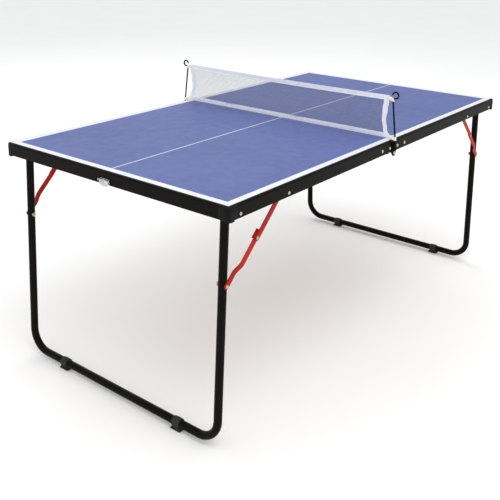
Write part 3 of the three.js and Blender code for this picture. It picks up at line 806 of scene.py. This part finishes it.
def net_mesh():
    """Knotted square net as real threads: each cell's middle is cut out of a fine grid."""
    columns = round(2 * NET_HALF / CELL)
    rows = round((NET_HIGH - NET_LOW) / CELL)
    share_y, share_z = 2 / columns, 1 / rows
    cut_y = THREAD_HALF_WIDTHS[0] / CELL * share_y
    cut_z = THREAD_HALF_WIDTHS[1] / CELL * share_z

    def build(work):
        grid = [
            [work.verts.new(net_point(-1 + share_y * i, share_z * j)) for i in range(columns + 1)]
            for j in range(rows + 1)
        ]
        for j in range(rows):
            for i in range(columns):
                low_y, high_y = -1 + share_y * i + cut_y, -1 + share_y * (i + 1) - cut_y
                low_z, high_z = share_z * j + cut_z, share_z * (j + 1) - cut_z
                corners = ((low_y, low_z), (high_y, low_z), (high_y, high_z), (low_y, high_z))
                hole = [work.verts.new(net_point(*place)) for place in corners]
                rim = [grid[j][i], grid[j][i + 1], grid[j + 1][i + 1], grid[j + 1][i]]
                for k in range(4):
                    after = (k + 1) % 4
                    work.faces.new([rim[k], rim[after], hole[after], hole[k]])
    mesh = mesh_from("net", build)
    made = piece("net_mesh", mesh, "net_set", THREAD_PAINTED_SHADE, ["net_panel"])
    solid = made.modifiers.new("thread_thickness", "SOLIDIFY")
    solid.thickness = THREAD_THICKNESS
    solid.offset = 0
    return made


def tape(name, centre_at, width_at, steps, material=TAPE, thick=TAPE_THICKNESS):
    """A folded tape: a flat tube that follows the net's edge, a little thicker than the net."""
    section = [(-0.5, -0.35), (-0.42, -0.5), (0.42, -0.5), (0.5, -0.35),
               (0.5, 0.35), (0.42, 0.5), (-0.42, 0.5), (-0.5, 0.35)]

    def build(work):
        rings = []
        for step in range(steps + 1):
            share = step / steps
            centre, across = centre_at(share)
            width = width_at(share)
            rings.append([
                work.verts.new(centre + across * (u * width) + Vector((v * thick, 0, 0)))
                for u, v in section
            ])
        for lower, upper in zip(rings, rings[1:]):
            for k in range(len(section)):
                after = (k + 1) % len(section)
                work.faces.new([lower[k], lower[after], upper[after], upper[k]])
        for end in (0, -1):
            work.faces.new(rings[end])
    return piece(name, mesh_from("tape", build), "net_set", material)


def net_tapes():
    """Four edge tapes, and the brighter hems stitched along the inner edge of three of them."""
    up = Vector((0, 0, 1))

    def level(z_share, inward, depth):
        """Middle line of a level strip, that far inward from the net's top or bottom edge."""
        def centre_at(share):
            return net_point(2 * share - 1, z_share) + up * inward * depth, up
        return centre_at

    def upright(side, edge_share):
        """Middle line of an upright strip, at a share of the side tape's width."""
        def centre_at(share):
            width = read_off(SIDE_TAPE_WIDTH, share)
            out = Vector((0, side, 0))
            return net_point(side, share) - out * width * edge_share, out
        return centre_at

    def even(share):
        return TAPE_WIDTH

    def hem(name, centre_at, steps, width):
        return tape(name, centre_at, lambda share: width, steps, HEM, HEM_THICKNESS)

    tapes = [
        tape("net_top_tape", level(1, -1, TAPE_WIDTH * 0.46), even, 90),
        hem("net_top_hem", level(1, -1, TAPE_WIDTH * 0.86), 90, HEM_WIDTH),
        tape("net_bottom_tape", level(0, 1, TAPE_WIDTH * 0.46), even, 90),
    ]
    for edge, side in SIDES.items():
        across = upright(side, 0.46)
        tapes += [
            tape(f"net_{edge}_tape", across, lambda share: read_off(SIDE_TAPE_WIDTH, share), 48),
            hem(f"net_{edge}_hem", upright(side, 0.8), 48, HEM_WIDTH * 0.8),
        ]
    return tapes


def post_places():
    """How far from the middle a post stands in its sleeve, and at the top of its lean."""
    stand = RAIL_OUTER + GAP + SLEEVE_RADIUS
    return stand, stand - POST_LEAN


def post_path(side):
    """The post's middle line: up from the sleeve, leaning in, and round the eye at its top."""
    stand, leant = post_places()
    top, straight, eye_lift = TOP + POST_TOP, 6 * MM, 3 * MM

    def at(y, z):
        return Vector((NET_X, side * y, z))
    first, last = at(stand, TOP + straight), at(leant, top - 4 * MM)
    path = [at(stand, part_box("front_net_post")[0].z), at(stand, TOP - straight)]
    path += [first.lerp(last, share) for share in (0.0, 0.33, 0.66, 1.0)]
    path.append(at(leant + 1.2 * MM, top))
    centre = at(leant + 0.8 * EYE_RADIUS, top + EYE_RADIUS + eye_lift)
    return path + arc(centre, EYE_RADIUS, -106, 180, 40, Vector((0, side, 0)))


def net_post(edge):
    """The wire post at one end of the net."""
    side = SIDES[edge]

    def build(work):
        add_tube(work, post_path(side), POST_RADIUS, 16)
    mesh = mesh_from("post", build)
    piece(f"{edge}_wire_post", mesh, "net_set", BLACK, [f"{edge}_net_post"])


TIES = {
    "top": {"net_share": 1.0, "lift": -6 * MM, "post_height": 121 * MM, "tall": 9.5 * MM},
    "bottom": {"net_share": 0.0, "lift": 6 * MM, "post_height": 4.6 * MM, "tall": 11 * MM},
}


def add_band(work, path, tall, thick):
    """A closed upright band, like a belt, through points that go once round."""
    section = [(-0.5, -0.45), (-0.3, -0.5), (0.3, -0.5), (0.5, -0.45),
               (0.5, 0.45), (0.3, 0.5), (-0.3, 0.5), (-0.5, 0.45)]
    up = Vector((0, 0, 1))
    rings = []
    for index, point in enumerate(path):
        along = path[(index + 1) % len(path)] - path[index - 1]
        outward = along.cross(up).normalized()
        rings.append([
            work.verts.new(point + outward * (u * thick) + up * (v * tall)) for u, v in section
        ])
    for index, ring in enumerate(rings):
        following = rings[(index + 1) % len(rings)]
        for k in range(len(section)):
            after = (k + 1) % len(section)
            work.faces.new([ring[k], ring[after], following[after], following[k]])


def tie(edge, level):
    """A sewn loop of tape from the net's corner round the post, whipped with thin cord."""
    side, sizes = SIDES[edge], TIES[level]
    out, up, forth = Vector((0, side, 0)), Vector((0, 0, 1)), Vector((1, 0, 0))
    thick, whip, overlap = 1.1 * MM, 0.75 * MM, 9 * MM
    stand, leant = post_places()
    post_y = leant if level == "top" else stand
    post = Vector((NET_X, side * post_y, TOP + sizes["post_height"]))
    start = net_point(side, sizes["net_share"]) + up * sizes["lift"] - out * overlap
    start.x = NET_X
    around = arc(post, POST_RADIUS + 0.15 * MM + thick / 2, -90, 90, 14, out, forth)
    near, far = start - forth * 1.3 * MM, start + forth * 1.3 * MM
    loop = [near.lerp(around[0], share) for share in (0, 0.35, 0.7)]
    loop += around
    loop += [around[-1].lerp(far, share) for share in (0.3, 0.65, 1)]

    def build(work):
        add_band(work, loop, sizes["tall"], thick)
        high = sizes["tall"] / 2 + whip
        for share in (0.62, 0.7, 0.78):
            middle = start.lerp(post, share)
            wide = (around[0] - post).length * share + thick
            angles = [2 * math.pi * step / 28 for step in range(28)]
            turn = [
                middle + forth * (wide * math.cos(a)) + up * (high * math.sin(a)) for a in angles
            ]
            add_tube(work, turn, whip, 8, closed=True)
    return piece(f"net_{edge}_{level}_tie", mesh_from("tie", build), "net_set", CORD)


# ------------------------------------------------------------------ latch

LATCH_SHARE = 0.86
LATCH_PIN = Vector(JOINTS["latch_turn"]["pos_m"])


def latch_reach(node):
    """Half the width that a latch piece has here, a little less than its CAD node's."""
    low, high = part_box(node)
    return (high.y - low.y) / 2 * LATCH_SHARE


def latch_pin():
    """The lever's pin with a small dome on each end."""
    reach, radius = latch_reach("left_latch_pin"), 1.5 * MM
    profile = [(0, -reach), (0.6 * radius, -reach + 0.2 * MM), (radius, -reach + 0.8 * MM)]
    profile += [(size, -height) for size, height in reversed(profile)]
    mesh = mesh_from("pin", lambda work: add_lathe(work, profile, LATCH_PIN, (0, 1, 0), 24))
    piece("latch_domed_pin", mesh, "left_half", CHROME, ["left_latch_pin"])


def add_dome(work, middle, reach_y, reach_z, depth, rise, rings=10, around=48):
    """An oval dome that bulges towards -X; returns the vertices of its rim."""
    crown = work.verts.new(middle + Vector((depth - rise, 0, 0)))
    loops = [[crown] * around]
    for ring in range(1, rings + 1):
        share = ring / rings
        loops.append([
            work.verts.new(middle + Vector((
                depth - rise * (1 - share ** 2.4),
                reach_y * share * math.cos(2 * math.pi * step / around),
                reach_z * share * math.sin(2 * math.pi * step / around),
            )))
            for step in range(around)
        ])
    for inner, outer in zip(loops, loops[1:]):
        for step in range(around):
            after = (step + 1) % around
            face = [inner[step], inner[after], outer[after], outer[step]]
            work.faces.new(list(dict.fromkeys(face)))
    return loops[-1]


def latch_lever():
    """Domed chrome lever with an oval outline that hangs from the latch's pin."""
    barrel_radius, barrel_edge, rise, wall = 2.7 * MM, 0.3 * MM, 5 * MM, 1.2 * MM
    low_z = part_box("left_latch_lever")[0].z
    reach_y = latch_reach("left_latch_lever")
    reach_z = (LATCH_PIN.z + 3 * MM - low_z) / 2
    middle = Vector((LATCH_PIN.x - 0.4 * MM, LATCH_PIN.y, low_z + reach_z))

    def build(work):
        front = add_dome(work, middle, reach_y, reach_z, 0, rise)
        back = add_dome(work, middle, 0.95 * reach_y, 0.95 * reach_z, wall, rise)
        for step in range(len(front)):
            after = (step + 1) % len(front)
            work.faces.new([front[step], front[after], back[after], back[step]])
        end, shoulder = 0.8 * reach_y, 0.78 * reach_y
        barrel = [(0, -end), (barrel_radius - barrel_edge, -end), (barrel_radius, -shoulder)]
        barrel += [(size, -height) for size, height in reversed(barrel)]
        add_lathe(work, barrel, LATCH_PIN, (0, 1, 0))
        handle = arc(middle + Vector((-3.4 * MM, 0, 0)), 5.2 * MM, 20, 160, 16)
        add_tube(work, handle, 0.9 * MM, 10)
    mesh = mesh_from("lever", build)
    piece("latch_bowed_lever", mesh, "latch_handle", CHROME, ["left_latch_lever"])


def latch_plate():
    """Oval base plate with two riveted ends and the ears that hold the pin."""
    back = -TABLE_END - GAP
    reach_y, radius = latch_reach("left_latch_base"), 7.5 * MM
    plate_z, rivet_y, rivet_z = TOP - 27.5 * MM, 16 * MM, TOP - 29 * MM
    ear_radius, ear_rim, ear_half, ear_edge = 2.8 * MM, 2.4 * MM, 1 * MM, 0.3 * MM

    def oval(work):
        add_strap(work, 2 * (reach_y - radius), radius)
        turn = Matrix(((0, 0, -0.5, 0), (1, 0, 0, 0), (0, 1, 0, 0), (0, 0, 0, 1)))
        place = Matrix.Translation((back, LATCH_PIN.y - reach_y + radius, plate_z))
        work.transform(place @ turn)

    def ear(work, y):
        low = (LATCH_PIN.x, y - ear_half, LATCH_PIN.z - 2.7 * MM)
        high = (back - 0.4 * MM, y + ear_half, LATCH_PIN.z + 2.7 * MM)
        add_slab(work, low, high, 0.4 * MM)
        disc = [(0, -ear_half), (ear_rim, -ear_half), (ear_radius, -ear_half + ear_edge)]
        disc += [(size, -height) for size, height in reversed(disc)]
        add_lathe(work, disc, (LATCH_PIN.x, y, LATCH_PIN.z), (0, 1, 0), 28)

    def build(work):
        oval(work)
        for end in (-1, 1):
            ear(work, LATCH_PIN.y + end * (reach_y - ear_half))
            rivet = (back - 1.5 * MM, LATCH_PIN.y + end * rivet_y, rivet_z)
            add_lathe(work, [(0, 0)] + head(2.6 * MM, 1.1 * MM, 0), rivet, (-1, 0, 0), 24)
    mesh = mesh_from("plate", build)
    piece("latch_oval_plate", mesh, "left_half", CHROME, ["left_latch_base"])


# ------------------------------------------------------------------ CAD nodes that stay

def finish_cad(node, material, bevel=0.0):
    """Gives a CAD node its finish, and where asked a fine rounded edge."""
    kept = frame["nodes"][node]
    kept.data.materials.clear()
    kept.data.materials.append(material)
    show_smooth(kept.data)
    if bevel > 0:
        rounding = kept.modifiers.new("edge_rounding", "BEVEL")
        rounding.width = bevel
        rounding.segments = 2
        rounding.limit_method = "ANGLE"
        rounding.angle_limit = math.radians(40)
        rounding.harden_normals = True


def keep_cad_nodes():
    """Finishes for the CAD nodes that no drawn piece stands for."""
    for half in HALVES:
        finish_cad(f"{half}_board", HARDBOARD)
        finish_cad(f"{half}_seam_rail", BLACK, 0.6 * MM)
        finish_cad(f"{half}_end_rail", BLACK)
        for edge in SIDES:
            finish_cad(f"{half}_{edge}_rail", BLACK)
            finish_cad(f"{half}_{edge}_corner_cap", PLASTIC)
            finish_cad(f"{half}_{edge}_hinge_leaf", BLACK)
    for edge in SIDES:
        finish_cad(f"{edge}_net_bracket", BLACK)
    finish_cad("right_latch_keeper", CHROME, 0.4 * MM)


# ------------------------------------------------------------------ studio

WORLD_LIGHT = 0.88
FLOOR_HALF = 60
LAMPS = (
    # name, place, size and power
    ("key", (-1.0, -2.2, 4.2), 3.5, 75),
    ("fill", (-4.2, 0.6, 2.6), 2.5, 15),
    ("back", (2.2, 3.0, 4.0), 3.5, 45),
)
LAMP_TARGET = Vector((0, 0, 0.5))

CAMERA_PLACE = Vector((-2.011, -1.471, 1.272))
CAMERA_AZIMUTH = math.radians(-51.5)
CAMERA_ELEVATION = math.radians(16.12)
CAMERA_ROLL = math.radians(0.61)
FOCAL_LENGTH = 55.86
SENSOR_WIDTH = 36
FRAME_SHIFT = -0.2


def studio():
    """An even white surround, a pale paper floor and three soft lamps."""
    scene = bpy.context.scene
    scene.view_settings.view_transform = "Standard"
    world = bpy.data.worlds.new("studio")
    world.use_nodes = True
    background = world.node_tree.nodes["Background"]
    background.inputs["Color"].default_value = (1, 1, 1, 1)
    background.inputs["Strength"].default_value = WORLD_LIGHT
    scene.world = world

    floor_mesh = mesh_from("floor", lambda work: bmesh.ops.create_grid(work, size=FLOOR_HALF))
    floor = bpy.data.objects.new("studio_floor", floor_mesh)
    paper = Surface("paper", Roughness=0.9)
    paper.tint(paper.noise(2.0), (0.95, 0.955, 0.96, 1), (0.97, 0.975, 0.98, 1))
    floor_mesh.materials.append(paper.material)
    scene.collection.objects.link(floor)

    for name, place, size, power in LAMPS:
        light = bpy.data.lights.new(name, "AREA")
        light.size = size
        light.energy = power
        lamp = bpy.data.objects.new(name, light)
        lamp.location = place
        aim = LAMP_TARGET - Vector(place)
        lamp.rotation_euler = aim.to_track_quat("-Z", "Y").to_euler()
        scene.collection.objects.link(lamp)


def camera():
    """The photograph's view, with a little roll and a lowered frame."""
    back = Vector((
        math.sin(CAMERA_AZIMUTH) * math.cos(CAMERA_ELEVATION),
        -math.cos(CAMERA_AZIMUTH) * math.cos(CAMERA_ELEVATION),
        math.sin(CAMERA_ELEVATION),
    ))
    right = (-back).cross(Vector((0, 0, 1))).normalized()
    up = right.cross(-back)
    rolled_right = right * math.cos(CAMERA_ROLL) + up * math.sin(CAMERA_ROLL)
    rolled_up = up * math.cos(CAMERA_ROLL) - right * math.sin(CAMERA_ROLL)
    matrix = Matrix((rolled_right, rolled_up, back)).transposed().to_4x4()
    matrix.translation = CAMERA_PLACE
    lens = bpy.data.cameras.new("camera")
    lens.sensor_width = SENSOR_WIDTH
    lens.lens = FOCAL_LENGTH
    lens.shift_y = FRAME_SHIFT
    made = bpy.data.objects.new("camera", lens)
    made.matrix_world = matrix
    bpy.context.scene.collection.objects.link(made)
    bpy.context.scene.camera = made


# ------------------------------------------------------------------ build

camera()
studio()
keep_cad_nodes()
for half_name in HALVES:
    playing_surface(half_name)
    white_lines(half_name)
    leg_tube(half_name)
    for edge_name in SIDES:
        rubber_foot(half_name, edge_name)
        brace(half_name, edge_name)
        leg_fasteners(half_name, edge_name)
        hinge_rivets(half_name, edge_name)
        corner_skirt(half_name, edge_name)
for edge_name in SIDES:
    fold_bolt(edge_name)
    net_post(edge_name)
latch_lever()
latch_pin()
latch_plate()

net = net_mesh()
trimmings = net_tapes()
trimmings += [tie(edge_name, level) for edge_name in SIDES for level in ("top", "bottom")]
